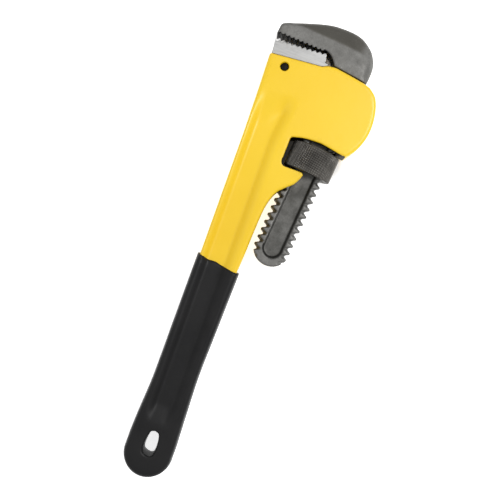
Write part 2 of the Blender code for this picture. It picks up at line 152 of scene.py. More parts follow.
def left_normals(loop, closed=True):
    """Unit vectors to the left of a chain of points."""
    before, after = np.roll(loop, 1, 0), np.roll(loop, -1, 0)
    if not closed:
        before[0], after[-1] = loop[0], loop[-1]
    along = after - before
    normal = np.stack([-along[:, 1], along[:, 0]], 1)
    return normal / np.maximum(np.linalg.norm(normal, axis=1, keepdims=True), 1e-9)


def offset(path, distance):
    return path + left_normals(path, closed=False) * distance


def dense(loop, step):
    """A closed loop with points no further apart than a step, and its doubled points dropped."""
    loop = np.asarray(loop, float)
    ahead = np.roll(loop, -1, 0)
    points = []
    for a, b in zip(loop, ahead):
        length = np.linalg.norm(b - a)
        if length < SAME_POINT:
            continue
        count = max(1, math.ceil(length / step))
        points += [a + (b - a) * i / count for i in range(count)]
    return np.array(points)


def teeth(start, end, count, depth, valley=0.65, flat=0.14, root=0.04):
    """Saw teeth from start to end, cut to the left of that line. The tips lie on the line.

    valley, flat and root are shares of a step: the valley's place, the tip's width and half the
    valley's width."""
    start, end = np.array(start), np.array(end)
    step = (end - start) / count
    inwards = np.array([-step[1], step[0]]) / np.linalg.norm(step) * depth
    points = []
    for i in range(count):
        tip = start + step * i
        points += [tip, tip + step * flat]
        points += [tip + step * share + inwards for share in (valley - root, valley + root)]
    return np.array(points + [end])


def smooth(t):
    t = np.clip(t, 0, 1)
    return t * t * (3 - 2 * t)


def soft_positive(t, width):
    """max(0, t) with its corner rounded over a width."""
    return 0.5 * (t + np.sqrt(t * t + width * width))


# ---- meshes ----
BATCH = 1500  # points measured at a time
EDGE_ANGLES = np.radians([24.0, 44.0, 66.0, 90.0])  # where a rim's round has its rows of points


def new_object(name, points, faces, place):
    mesh = bpy.data.meshes.new(name)
    mesh.from_pydata((np.asarray(points, float) * mm).tolist(), [], faces)
    made = bpy.data.objects.new(name, mesh)
    bpy.context.scene.collection.objects.link(made)
    made.matrix_world = place
    return made


def facing_out(made):
    """Welds doubled points, drops loose edges and turns every face outwards."""
    bm = bmesh.new()
    bm.from_mesh(made.data)
    bmesh.ops.remove_doubles(bm, verts=bm.verts, dist=1e-7)
    bmesh.ops.delete(bm, geom=[edge for edge in bm.edges if not edge.link_faces], context="EDGES")
    bmesh.ops.recalc_face_normals(bm, faces=bm.faces)
    bm.to_mesh(made.data)
    bm.free()
    return made


def loft(name, rings, place, capped=True):
    """Rings of equal length joined in order."""
    n = len(rings[0])
    points = np.vstack(rings)
    faces = [list(range(n)), list(range(len(points) - n, len(points)))] if capped else []
    for k in range(len(rings) - 1):
        for i in range(n):
            j = (i + 1) % n
            faces.append((k * n + i, k * n + j, (k + 1) * n + j, (k + 1) * n + i))
    return facing_out(new_object(name, points, faces, place))


def prism(name, outline, half, place):
    outline = np.asarray(outline, float)
    rings = [np.column_stack([outline, np.full(len(outline), z)]) for z in (-half, half)]
    return loft(name, rings, place)


def turned(name, profile, steps, place):
    """A profile of (radius, height) turned about the local y axis, closed on the axis or on itself."""
    angles = 2 * math.pi * np.arange(steps) / steps
    radius, height = np.asarray(profile, float).T
    points = np.vstack([
        np.column_stack([radius * math.sin(a), height, radius * math.cos(a)]) for a in angles
    ])
    n = len(profile)
    faces = []
    for i in range(steps):
        a, b = i * n, (i + 1) % steps * n
        faces += [(a + k, b + k, b + (k + 1) % n, a + (k + 1) % n) for k in range(n)]
    return facing_out(new_object(name, points, faces, place))


def cylinder(radius, low, high):
    """A profile for turned()."""
    return [(0, low), (radius, low), (radius, high), (0, high)]


def nearest(points, loops, values):
    """Distance from each point to the closed loops, and the loops' value at the nearest place."""
    best = np.full(len(points), 1e9)
    found = np.zeros(len(points))
    for loop, value in zip(loops, values):
        ahead, value_ahead = np.roll(loop, -1, 0), np.roll(value, -1)
        step = ahead - loop
        square = (step**2).sum(1) + 1e-12
        for k in range(0, len(points), BATCH):
            part = points[k : k + BATCH, None, :]
            t = np.clip(((part - loop) * step).sum(2) / square, 0, 1)
            gap = np.linalg.norm(part - (loop + t[..., None] * step), axis=2)
            index = gap.argmin(1)
            rows = np.arange(len(index))
            here, share = gap[rows, index], t[rows, index]
            closer = here < best[k : k + BATCH]
            there = np.flatnonzero(closer) + k
            best[there] = here[closer]
            found[there] = (value[index] + (value_ahead[index] - value[index]) * share)[closer]
    return best, found


def inside(points, loops):
    x, y = points[:, 0], points[:, 1]
    odd = np.zeros(len(points), bool)
    for loop in loops:
        for (ax, ay), (bx, by) in zip(loop, np.roll(loop, -1, 0)):
            if ay != by:
                odd ^= ((ay > y) != (by > y)) & (x < (bx - ax) * (y - ay) / (by - ay) + ax)
    return odd


def hexagonal(box, step):
    """Points of a triangular grid over a box (x0, y0, x1, y1)."""
    x0, y0, x1, y1 = box
    points = []
    for row, y in enumerate(np.arange(y0, y1, step * 0.866)):
        xs = np.arange(x0 + (row % 2) * step / 2, x1, step)
        points.append(np.column_stack([xs, np.full(len(xs), y)]))
    return np.vstack(points)


def plate(name, loops, radii, half, grids, place, creases=(), bulge=0.2, rows=6):
    """A closed body, the same on both sides of z = 0, with rounded rims.

    The first loop is the outline, anticlockwise, and the rest are holes, clockwise. radii gives the
    rim's radius at each point of each loop, half(x, y) the half thickness, and grids the boxes and
    steps of the points between. The side walls stand out in the middle by a bulge."""
    extra = []
    for loop, radius in zip(loops, radii):
        normal = left_normals(loop)
        for angle in EDGE_ANGLES:
            sink = radius * (1 - math.cos(angle))
            extra.append(np.column_stack([loop + normal * sink[:, None], sink]))
    extra = np.vstack(extra)
    gap, _ = nearest(extra[:, :2], loops, radii)
    inner = [extra[(gap > extra[:, 2] * 0.97 - 0.004) & inside(extra[:, :2], loops), :2]]
    for box, step in grids:
        points = hexagonal(box, step)
        points = points[inside(points, loops)]
        gap, radius = nearest(points, loops, radii)
        inner.append(points[gap > radius + 0.45 * step])
    for line in creases:
        line = np.asarray(line, float)
        line = line[inside(line, loops)]
        gap, radius = nearest(line, loops, radii)
        inner.append(line[gap > 0.5 * radius])
    rim = np.vstack(loops)
    given = np.vstack([rim, *inner])
    edges, start = [], 0
    for loop in loops:
        edges += [(start + i, start + (i + 1) % len(loop)) for i in range(len(loop))]
        start += len(loop)
    flat, _, triangles, origin, _, _ = geometry.delaunay_2d_cdt(
        [Vector(p) for p in given], edges, [], 2, 1e-6
    )
    place_of = {given_index: i for i, sources in enumerate(origin) for given_index in sources}
    flat = np.array([tuple(p) for p in flat])
    triangles = np.array([t[:3] for t in triangles])
    for hole in loops[1:]:
        triangles = triangles[~inside(flat[triangles].mean(1), [hole])]
    a = flat[triangles[:, 0]]
    ab, ac = flat[triangles[:, 1]] - a, flat[triangles[:, 2]] - a
    area = ab[:, 0] * ac[:, 1] - ab[:, 1] * ac[:, 0]
    triangles[area < 0] = triangles[area < 0][:, ::-1]
    gap, radius = nearest(flat, loops, radii)
    rim_index = np.array([place_of[i] for i in range(len(rim))])
    gap[rim_index], radius[rim_index] = 0, np.concatenate(radii)
    inward = radius - np.minimum(gap, radius)
    drop = radius - np.sqrt(np.maximum(radius**2 - inward**2, 0))
    z = half(flat[:, 0], flat[:, 1]) - drop
    n = len(flat)
    points = [np.column_stack([flat, z]), np.column_stack([flat, -z])]
    faces = triangles.tolist() + (triangles[:, ::-1] + n).tolist()
    count, start = 2 * n, 0
    for loop in loops:
        top = rim_index[start : start + len(loop)]
        start += len(loop)
        out = -left_normals(loop)
        lanes = [top]
        for row in range(1, rows):
            share = 1 - 2 * row / rows
            ring = flat[top] + out * bulge * (1 - share**2)
            points.append(np.column_stack([ring, z[top] * share]))
            lanes.append(np.arange(count, count + len(loop)))
            count += len(loop)
        lanes.append(top + n)
        for upper, lower in zip(lanes, lanes[1:]):
            u, v = np.roll(upper, -1), np.roll(lower, -1)
            faces += np.stack([upper, lower, v, u], 1).tolist()
    return new_object(name, np.vstack(points), faces, place)


def screw(name, radius_at, low, high, steps, place, samples=16):
    """A right-hand thread about the local y axis, with radius_at(h) at a height h over a crest."""
    first = math.floor((low - THREAD_PHASE) / PITCH) - 1
    last = math.ceil((high - THREAD_PHASE) / PITCH) + 1
    foot = THREAD_PHASE + first * PITCH
    h = np.arange((last - first) * samples + 1) / samples * PITCH
    radius = radius_at((h + PITCH / 2) % PITCH - PITCH / 2)
    n = len(h)
    points = []
    for i in range(steps):
        angle = 2 * math.pi * i / steps
        rise = foot + h + PITCH * i / steps
        points.append(np.column_stack([radius * math.sin(angle), rise, radius * math.cos(angle)]))
    faces = []
    for i in range(steps):
        wraps = i == steps - 1
        a, b, shift = i * n, (0 if wraps else (i + 1) * n), (samples if wraps else 0)
        for k in range(n - 1 - shift):
            faces.append((a + k, b + k + shift, b + k + 1 + shift, a + k + 1))
    bottom = [i * n for i in range(steps)] + list(range(samples, 0, -1))
    end = steps * n - 1
    top = [i * n + n - 1 for i in range(steps - 1)] + list(range(end, end - 1 - samples, -1))
    points = np.vstack(points + [[[0, foot, 0], [0, THREAD_PHASE + last * PITCH + PITCH / 2, 0]]])
    for centre, ring in ((len(points) - 2, bottom), (len(points) - 1, top)):
        faces += [(centre, ring[i], ring[(i + 1) % len(ring)]) for i in range(len(ring))]
    return facing_out(new_object(name, points, faces, place))


def sweep(name, path, section, place):
    """A closed section of (across, z) points carried along a path in the plane."""
    normal = left_normals(path, closed=False)
    rings = []
    for point, side in zip(path, normal):
        rings.append(np.array([(*(point + side * across), z) for across, z in section]))
    return loft(name, rings, place)


# ---- modifiers ----
def settle(made):
    """Applies the modifiers."""
    bpy.context.view_layer.update()
    graph = bpy.context.evaluated_depsgraph_get()
    mesh = bpy.data.meshes.new_from_object(made.evaluated_get(graph))
    made.modifiers.clear()
    made.data = mesh
    return made


def combine(target, operation, *others):
    """Applies a Boolean with each of the others in turn, and removes them."""
    for other in others:
        modifier = target.modifiers.new(other.name, "BOOLEAN")
        modifier.operation = operation
        modifier.solver = "EXACT"
        modifier.object = other
        settle(target)
        bpy.data.objects.remove(other, do_unlink=True)
    return facing_out(target)


def remeshed(made, voxel, iterations):
    """Rebuilds the surface on an even grid and softens it, as forging and blasting do."""
    modifier = made.modifiers.new("remesh", "REMESH")
    modifier.mode = "VOXEL"
    modifier.voxel_size = voxel * mm
    settle(made)
    modifier = made.modifiers.new("soften", "SMOOTH")
    modifier.factor = 0.5
    modifier.iterations = iterations
    return settle(made)


def copy_of(made, name):
    twin = bpy.data.objects.new(name, made.data.copy())
    bpy.context.scene.collection.objects.link(twin)
    twin.matrix_world = made.matrix_world.copy()
    return twin


def shade(made, angle=38.0):
    made.data.shade_smooth()
    made.data.set_sharp_from_angle(angle=math.radians(angle))


def coordinates(made):
    """The mesh's points in millimetres of its own frame."""
    points = np.empty(len(made.data.vertices) * 3)
    made.data.vertices.foreach_get("co", points)
    return points.reshape(-1, 3) / mm


def write_attribute(made, name, values):
    attribute = made.data.attributes.new(name, "FLOAT", "POINT")
    attribute.data.foreach_set("value", np.asarray(values, np.float32))


def averaged(values, reach=4):
    """A closed run of values, each replaced by the mean of its neighbourhood."""
    return sum(np.roll(values, k) for k in range(-reach, reach + 1)) / (2 * reach + 1)


# ---- the handle casting and its coating ----
GRIP_BACK = [(2.7, 147.0), (2.5, 100.0), (2.3, 62.0), (0.9, 38.0), (0.3, 24.0)]
GRIP_FRONT = [(31.4, 24.0), (30.3, 50.0), (29.7, 72.0), (30.5, 102.0), (31.7, 142.8)]
GRIP_LIP = [(31.7, 142.8), (26.0, 143.3), (20.0, 144.3), (15.0, 145.4), (10.0, 145.2), (7.0, 146.1),
            (2.7, 147.0)]
GRIP_END = ((15.85, 14.5), 15.6)
HANG_HOLE = [(15.7, 29.8), (12.8, 28.2), (11.5, 22.0), (11.7, 16.5), (13.5, 14.0), (17.4, 13.4),
             (19.5, 15.6), (19.9, 22.0), (18.6, 28.2), (15.7, 29.8)]


def grip_side():
    """The coating's edge, from its top at the back round the end to its top at the front."""
    end = arc(*GRIP_END, 175, 365, 60)
    return np.vstack([spline(GRIP_BACK), end, spline(GRIP_FRONT)])


def hang_hole(grow):
    """The hole's rim, clockwise."""
    loop = dense(spline(HANG_HOLE, 6)[:-1], STEP)
    return (loop - left_normals(loop) * grow)[::-1]


def recess(x, y, feet, reach, depth, start):
    """Depth of the I-section's hollow.

    feet are the x of the floor's sides, reach the slopes' widths, and start the y of the lower end.
    The front slope bends forward near the housing and ends higher up than the back one."""
    bend = 3.2 * smooth((y - 226) / 36)
    front = smooth((x - 15) / 8)
    slopes = 1.0
    for t in ((feet[0] - x) / reach[0], (x - feet[1] - bend) / reach[1]):
        t = np.clip(soft_positive(t, 0.07), 0, 1)
        slopes = slopes * (1 - t) ** 1.7
    lower = smooth((y - start[0]) / (start[1] - start[0]))
    upper = 1 - smooth((y - 238 - 9 * front) / (25 - 10 * front))
    return depth * slopes * (lower * upper)


def casting_half(x, y):
    share = smooth((y - TAPER_START + 8) / (TAPER_END - TAPER_START + 12))
    taper = HANDLE_HALF + (HOUSING_HALF - HANDLE_HALF) * share
    return taper - recess(x, y, (9.4, 20.9), (4.8, 6.8), RECESS_DEPTH, (31, 46))


def casting_outline():
    """The handle and housing, anticlockwise from the foot of the exposed front edge."""
    front = spline([(31.2, 155.0), (31.9, 172.0), (33.2, 189.0), (36.3, 199.3), (41.0, 204.8),
                    (45.8, 209.2), (48.4, 214.0)])
    window = rounded([(48.4, 214.0, 0), (49.6, 218.0, 1.8), (33.3, 218.0, 3.0), (33.6, 236.8, 2.2),
                      (42.0, 238.8, 30.0), (53.0, 239.2, 30.0), (69.5, 236.3, 0), (70.9, 236.2, 0)])
    belly = spline([(70.9, 236.1), (74.0, 239.8), (77.6, 246.3), (79.8, 253.9), (80.3, 262.0),
                    (79.0, 271.2), (75.9, 278.8), (71.0, 283.2)])
    top = rounded([(71.0, 283.2, 0), (67.4, 284.5, 4.0), (58.0, 286.2, 6.0), (46.0, 288.1, 4.0),
                   (41.4, 287.7, 2.0), (37.0, 285.6, 1.0), (2.8, 282.9, 1.3), (3.0, 274.0, 20.0),
                   (3.4, 262.0, 30.0), (4.0, 230.0, 40.0), (3.9, 180.0, 0)])
    return np.vstack([front[:-1], window[:-1], belly, top[1:], offset(grip_side(), COAT)])


def casting_radii(loop):
    """Rim radius: generous on the outer edges, small in the window and on the machined seat."""
    x, y = loop[:, 0], loop[:, 1]
    radius = np.full(len(loop), 2.0)
    radius[(y > 282.7) & (x < 41)] = 0.9
    radius[(y > 213) & (y < 239.3) & (x > 33.0) & (x < 70)] = 0.9
    return averaged(radius, 3)


def across_shank(name, profile, q, steps=32):
    """A turned shape with its axis along p, at height q."""
    turn = Matrix.Translation((0, q * mm, 0)) @ Matrix.Rotation(-math.pi / 2, 4, "Z")
    return turned(name, profile, steps, SHANK @ turn)


def upright(name, profile, steps=48):
    """A turned shape with its axis along z, at the heel jaw's pin."""
    turn = Matrix.Translation((*[c * mm for c in PIN_CENTRE], 0)) @ Matrix.Rotation(math.pi / 2, 4, "X")
    return turned(name, profile, steps, DRAWING @ turn)


def channel_cutter():
    """The way through the housing for the shank, with room behind it for the leaf spring."""
    front = SHANK_HALF_WIDTH + 0.4
    outline = [(-14.6, -50.0), (30.0, -50.0), (30.0, 0.0), (front, 0.0), (front, 80.0), (-12.9, 80.0),
               (-12.9, 55.0), (-16.4, 51.5), (-16.6, 10.0), (-18.4, 10.0), (-18.4, -6.0), (-14.6, -6.0)]
    return prism("channel", outline, SHANK_HALF + 0.65, SHANK)


def make_casting_and_grip():
    outline = dense(casting_outline(), STEP)
    hole = hang_hole(COAT)
    loops = [outline, hole]
    radii = [casting_radii(outline), np.full(len(hole), 0.8)]
    grids = [((-1, 0, 34, 138), 2.4), ((-1, 138, 34, 200), 1.2), ((-1, 200, 82, 292), 1.3)]
    casting = plate("casting", loops, radii, casting_half, grids, DRAWING, bulge=0.12)
    grip = make_grip(casting)
    slot = [(6.7, 271.8), (25.3, 271.8), (25.3, 300.0), (6.7, 300.0)]
    tongue = prism("tongue_slot", slot, TONGUE_HALF + GAP, DRAWING)
    bore, sink = PIN_RADIUS + GAP, HOUSING_HALF - 0.55
    flare = bore + 3.4
    pin = upright("pin_hole", [(0, -THROUGH), (flare, -THROUGH), (bore, -sink), (bore, sink),
                               (flare, THROUGH), (0, THROUGH)])
    pocket = across_shank("pocket", cylinder(COIL_RADIUS + COIL_WIRE + GAP, POCKET_END, -10), COIL_Q)
    rivet = across_shank("rivet_hole", cylinder(RIVET_HOLE, RIVET_END, -10), RIVET_Q)
    combine(casting, "DIFFERENCE", channel_cutter(), tongue, pin, pocket, rivet)
    mark_casting(casting, loops, radii)
    return casting, grip


def mark_casting(casting, loops, radii):
    """Attributes: 1 near an edge, where paint wears, and 1 on the walls of window and channel, which get
    painted shade.
    """
    x, y, z = coordinates(casting).T
    gap, _ = nearest(np.column_stack([x, y]), loops, radii)
    shy = np.maximum(casting_half(x, y) - np.abs(z), 0)
    write_attribute(casting, "edge", np.clip(1 - (gap + shy) / 2.6, 0, 1))
    # The walls of the window and channel, painted near-black as shade.
    window = (np.abs(z) < 11.2) & (x > 33) & (x < 70.5) & (y > 217) & (y < 239.5) & (gap < 0.5)
    channel = (np.abs(z) < 8.2) & (x > 33) & (y > 205) & (gap > 1.0)
    write_attribute(casting, "painted_wall_shade", 1.0 * (window | channel))


def grip_half(x, y):
    swell = 0.35 * smooth((60 - y) / 45)
    below_lip = np.interp(x, [2.7, 31.7], [147.0, 142.8]) - y
    lip = 0.25 * (1 - smooth(below_lip / 7))
    return GRIP_HALF + swell - lip - recess(x, y, (9.9, 20.2), (5.2, 7.6), 3.3, (33, 48))


def make_grip(casting):
    """The dipped coating, a skin over the handle that also lines the hang hole. Its top edge is wavy."""
    outline = dense(np.vstack([grip_side(), spline(GRIP_LIP)[1:-1]]), STEP)
    hole = hang_hole(0.0)
    on_lip = (outline[:, 1] > 142.6) & (outline[:, 0] > 2.9) & (outline[:, 0] < 31.5)
    radius = averaged(np.where(on_lip, 1.6, 3.4), 4)
    loops, radii = [outline, hole], [radius, np.full(len(hole), 1.5)]
    grids = [((-1, -1, 34, 149), 1.3)]
    grip = plate("grip", loops, radii, grip_half, grids, DRAWING, bulge=0.5, rows=8)
    combine(grip, "DIFFERENCE", copy_of(casting, "core"))
    points = coordinates(grip)
    gap, _ = nearest(points[:, :2], [outline], [radius])
    write_attribute(grip, "edge", np.clip(1 - gap / 3.0, 0, 1))
    return grip


# ---- the jaws ----
HEEL_TIPS = ((36.5, 294.7), (3.1, 292.7))
HOOK_TIPS = ((-54.5, 65.5), (-23.7, 66.35))
FACET_LINE = [(-60.0, 72.0), (-54.0, 73.6), (-47.0, 75.6), (-30.0, 76.4), (-12.0, 76.6), (-3.0, 75.6),
              (2.6, 72.0), (5.6, 67.0), (6.8, 60.0), (7.2, 50.0)]
TEETH = 10
LOWER_ARC = -62.0  # q of the centre of the shank's round end
PANEL_RADIUS, PANEL_ARC, PANEL_TOP = 6.3, -61.4, 42.0
HEAD_FROM = 60.0  # q above which a point of the hook jaw is in its head


def flat_half(half):
    return lambda x, y: np.full(len(x), half)


def make_heel_jaw():
    """The fixed jaw: a ground block with ten teeth, a tongue down into the casting and a cross hole."""
    top = teeth(*HEEL_TIPS, TEETH, 1.15)
    seat = [(3.75, 283.35), (36.9, 285.95), (41.0, 287.95), (40.2, 288.7), (38.2, 288.9), (37.4, 294.0)]
    outline = dense(np.vstack([seat, top]), 1.0)
    block = plate("heel", [outline], [np.full(len(outline), 0.3)], flat_half(HEEL_HALF),
                  [((2, 283, 42, 296), 1.6)], DRAWING, bulge=0.0, rows=10)
    sides = [(7.0, 272.1), (25.0, 272.1), (25.0, 289.0), (7.0, 289.0)]
    tongue = prism("tongue", sides, TONGUE_HALF, DRAWING)
    hole = upright("cross_hole", cylinder(PIN_RADIUS + GAP, -THROUGH, THROUGH))
    combine(block, "UNION", tongue)
    combine(block, "DIFFERENCE", hole)
    write_attribute(block, "edge", np.zeros(len(block.data.vertices)))
    return block


def make_heel_pin():
    """A straight pin with domed ends, sunk below the housing's faces."""
    wide, high = 0.7, 0.5  # of the dome's edge
    profile = [(0, -PIN_HALF)]
    for a in map(math.radians, (70, 50, 30, 10)):
        profile.append((PIN_RADIUS - wide + wide * math.cos(a), -PIN_HALF + high - high * math.sin(a)))
    profile += [(r, -h) for r, h in reversed(profile)]
    return upright("pin", profile)


def head_outline():
    """The hook above the housing, anticlockwise from the foot of its back, in five parts."""
    back = spline([(11.4, 59.3), (11.6, 64.0), (11.4, 69.4), (10.1, 74.5), (6.9, 79.3), (1.4, 83.6),
                   (-4.1, 86.1), (-11.4, 86.9), (-21.8, 86.0), (-30.0, 83.6), (-40.0, 79.4),
                   (-49.0, 75.3)])
    nose = rounded([(-49.0, 75.3, 0), (-54.6, 72.5, 3.2), (-54.5, 65.5, 0)])
    tips = teeth(*HOOK_TIPS, TEETH, 1.25)
    throat = spline([(-22.2, 68.0), (-19.7, 67.5), (-17.0, 66.2), (-14.6, 64.0), (-12.4, 61.0)])
    foot = [(-11.6, 60.95), (10.8, 59.35)]
    return back[:-1], nose[:-1], tips, throat, foot


def head_half(x, y):
    """Half thickness: a facet falls away above the facet line."""
    line = spline(FACET_LINE, 6)
    closed = np.vstack([line, [(-5.0, 40.0), (-70.0, 40.0)]])[::-1]
    points = np.column_stack([x, y])
    gap, _ = nearest(points, [closed], [np.zeros(len(closed))])
    outside = np.where(inside(points, [closed]), -gap, gap)
    facet = 0.36 * soft_positive(outside, 0.7)
    return HEAD_HALF - facet


def thread_radius(h, clearance=0.0):
    """The thread's profile with its corners eased, at a distance h from the middle of a crest."""
    crest = THREAD_CREST / 2 + clearance
    shifts = (-0.36, -0.18, 0.0, 0.18, 0.36)
    total = 0
    for shift in shifts:
        away = np.abs((h + shift + PITCH / 2) % PITCH - PITCH / 2)
        total = total + np.clip((away - crest) / THREAD_FLANK, 0, 1)
    return THREAD_MAJOR + clearance - (THREAD_MAJOR - THREAD_MINOR) * total / len(shifts)


def panel_outline():
    """The hollow in the shank's face: straight sides and a round lower end."""
    sides = [(PANEL_RADIUS, PANEL_TOP), (-PANEL_RADIUS, PANEL_TOP)]
    return np.vstack([arc((0, PANEL_ARC), PANEL_RADIUS, 180, 360, 24), sides])


def to_line(points, line):
    """Distance from each point to an open chain."""
    chain = np.vstack([line, line[-2:0:-1]])
    return nearest(points, [chain], [np.zeros(len(chain))])[0]


def shank_panel(side):
    """The cutter of one hollow, with sloped sides and a rounded floor."""
    outline = panel_outline()
    normal = left_normals(outline)
    rings = []
    for grow, rise in ((-1.5, -2.0), (-0.8, -1.95), (0.0, -0.45), (0.9, 0.6)):
        z = (SHANK_HALF + rise) * side
        rings.append(np.column_stack([outline - normal * grow, np.full(len(outline), z)]))
    return loft(f"panel_{side}", rings, SHANK)


def make_shank():
    """The hook jaw below its head: a flat bar with a thread cut on its two narrow sides."""
    end = arc((0, 0), 1.0, 180, 360, 40) * (SHANK_HALF_WIDTH, LOWER_ARC - SHANK_END) + (0, LOWER_ARC)
    upper = [(12.1, 45.0), (11.5, 57.0), (10.9, 62.0), (9.0, 69.0), (-10.6, 68.0), (-12.1, 61.0)]
    outline = dense(np.vstack([end, upper]), 1.0)
    slab = plate("hook", [outline], [np.full(len(outline), 0.9)], flat_half(SHANK_HALF),
                 [((-13, -74, 13, 70), 3.0)], SHANK, bulge=0.0)
    rod = screw("thread", thread_radius, SHANK_END - 2 * PITCH, THREAD_TOP, 72, SHANK)
    collar = turned("collar", cylinder(40, THREAD_TOP, 100), 24, SHANK)
    combine(rod, "UNION", collar)
    combine(slab, "INTERSECT", rod)
    combine(slab, "DIFFERENCE", shank_panel(1), shank_panel(-1))
    return remeshed(slab, 0.4, 3)


def make_hook_jaw():
    jaw = make_shank()
    back, nose, tips, throat, foot = head_outline()
    # Each part with the radius of its rim. The back's is larger near the foot than near the nose.
    parts = [(back[:40], 4.6), (back[40:], 2.9), (nose, 1.8), (tips, 0.22), (throat, 0.8), (foot, 0.6)]
    chain = np.vstack([part for part, _ in parts])
    loop = dense(chain, 0.8)
    sizes = np.concatenate([np.full(len(part), size) for part, size in parts])
    _, radius = nearest(loop, [chain], [sizes])
    radius = averaged(radius, 2)
    head = plate("head", [loop], [radius], head_half, [((-56, 58, 13, 87), 1.1)], SHANK,
                 creases=[dense(spline(FACET_LINE, 6), STEP)], bulge=0.0, rows=8)
    combine(jaw, "UNION", head)
    mark_hook_jaw(jaw, loop, radius, np.vstack([tips, throat]))
    return jaw


def mark_hook_jaw(jaw, loop, radius, bite):
    """Attributes for the head's rims, the facet, the tooth and throat walls, the panel's rim and its
    floor, all of which the finish darkens as painted shade.
    """
    x, y, z = coordinates(jaw).T
    flat = np.column_stack([x, y])
    gap, _ = nearest(flat, [loop], [radius])
    in_head = y > HEAD_FROM
    write_attribute(jaw, "edge", np.where(in_head, np.clip(1 - gap / 2.2, 0, 1), 0))
    write_attribute(jaw, "facet", smooth((y - 75.0) / 1.6) * in_head * smooth((4 - x) / 6))
    # Tooth and throat walls, painted near-black as shade.
    write_attribute(jaw, "scale", 1.0 * (to_line(flat, bite) < 0.06))
    to_wall = to_line(flat, panel_outline())
    width = np.where(x > 0, 1.15, 0.75)
    on_shank = (y < HEAD_FROM - 1) & (np.abs(z) > 3)
    write_attribute(jaw, "painted_groove_shade", np.clip(1.4 - to_wall / width, 0, 1) * on_shank)
    write_attribute(jaw, "hollow", on_shank * (np.abs(z) < SHANK_HALF - 1.2))


# ---- the nut and the springs ----
def make_nut():
    """A diamond-knurled barrel with eased ends and a thread inside."""
    per_tooth, around = 6, 72  # points to a knurl tooth, and teeth round the nut
    bore, face = 4.0, 13.6  # radii of a ring inside the thread's cutter and of one on each end
    count = per_tooth * around
    low, high = NUT_Q - NUT_HALF_HEIGHT, NUT_Q + NUT_HALF_HEIGHT
    pitch = 2 * math.pi * NUT_RADIUS / around
    rows = int(round((high - low) / (pitch / per_tooth)))
    h = np.linspace(low, high, rows + 1)
    angle = 2 * math.pi * np.arange(count) / count
    u, v = np.meshgrid(angle * NUT_RADIUS / pitch, (h - NUT_Q) / pitch)
    first, second = (u + v) % 1, (u - v) % 1
    pyramid = np.minimum(1 - 2 * np.abs(first - 0.5), 1 - 2 * np.abs(second - 0.5))
    knurl = NUT_RADIUS - KNURL_DEPTH * (1 - np.minimum(pyramid * 1.2, 1))
    left = NUT_CHAMFER - np.minimum(np.minimum(h - low, high - h)[:, None], NUT_CHAMFER)
    cone = NUT_RADIUS - NUT_CHAMFER * 1.05 + np.sqrt(np.maximum(NUT_CHAMFER**2 - left**2, 0))
    radius = np.minimum(knurl, cone)
    rings = [(np.full(count, r), low) for r in (bore, face)]
    rings += [(radius[i], h[i]) for i in range(rows + 1)]
    rings += [(np.full(count, r), high) for r in (face, bore)]
    points = []
    for r, y in rings:
        points.append(np.column_stack([r * np.sin(angle), np.full(count, y), r * np.cos(angle)]))
    index = np.arange(len(rings) * count).reshape(len(rings), count)
    quads = []
    for a, b in zip(index, np.roll(index, -1, 0)):
        quads.append(np.stack([a, b, np.roll(b, -1), np.roll(a, -1)], 1))
    made = facing_out(new_object("nut", np.vstack(points), np.vstack(quads).tolist(), SHANK))
    inner = screw("nut_thread", lambda s: thread_radius(s, GAP), low - PITCH, high + PITCH, 64, SHANK)
    combine(made, "DIFFERENCE", inner)
    points = coordinates(made)
    # Crests, lighter in the finish: worn there, and a painted highlight.
    deep = np.clip((NUT_RADIUS - np.hypot(points[:, 0], points[:, 2])) / KNURL_DEPTH, 0, 1)
    write_attribute(made, "edge", 1 - deep)
    return made


def capsule(half_width, half_thickness, steps=5):
    """A strip's section (across, z) with round edges."""
    flat = half_width - half_thickness
    upper = arc((0, flat), half_thickness, 0, 180, 2 * steps)
    lower = arc((0, -flat), half_thickness, 180, 360, 2 * steps)
    return np.vstack([upper, lower])


def make_leaf_spring():
    """A flat strip along the channel's back, bowed out at its lower end to press on the shank."""
    path = spline([(-15.2, 50.2), (-15.2, 42.0), (-14.0, 33.0), (-12.4, 22.0), (-12.8, 14.0),
                   (-14.2, 11.0)], 8)
    made = sweep("leaf", offset(path, -LEAF / 2), capsule(SPRING_HALF, LEAF / 2), SHANK)
    hole = across_shank("leaf_hole", cylinder(RIVET_HOLE, -20, -10), RIVET_Q)
    return combine(made, "DIFFERENCE", hole)


def make_rivet():
    profile = [(0, -21), (0.7, -21), (1.0, -20.7), (1.0, -14.9), (2.1, -14.9), (2.3, -14.75),
               (2.25, -14.5), (1.8, -14.1), (1.1, -13.85), (0, -13.8)]
    return across_shank("rivet", profile, RIVET_Q)


def make_coil_spring():
    """A helix of round wire from the pocket's floor to the leaf spring."""
    start, end = POCKET_END + COIL_WIRE + GAP, -14.2
    per_turn, sides = 28, 10
    steps = per_turn * COIL_TURNS
    section = np.radians(np.arange(sides) * 360 / sides)
    along = Vector((1, 0, 0))
    rings = []
    for i in range(steps + 1):
        angle = 2 * math.pi * i / per_turn
        out = Vector((0, math.cos(angle), math.sin(angle)))
        centre = Vector((start + (end - start) * (i / steps), COIL_Q, 0)) + out * COIL_RADIUS
        wire = [centre + (out * math.cos(s) + along * math.sin(s)) * COIL_WIRE for s in section]
        rings.append(np.array([tuple(point) for point in wire]))
    return loft("coil", rings, SHANK)


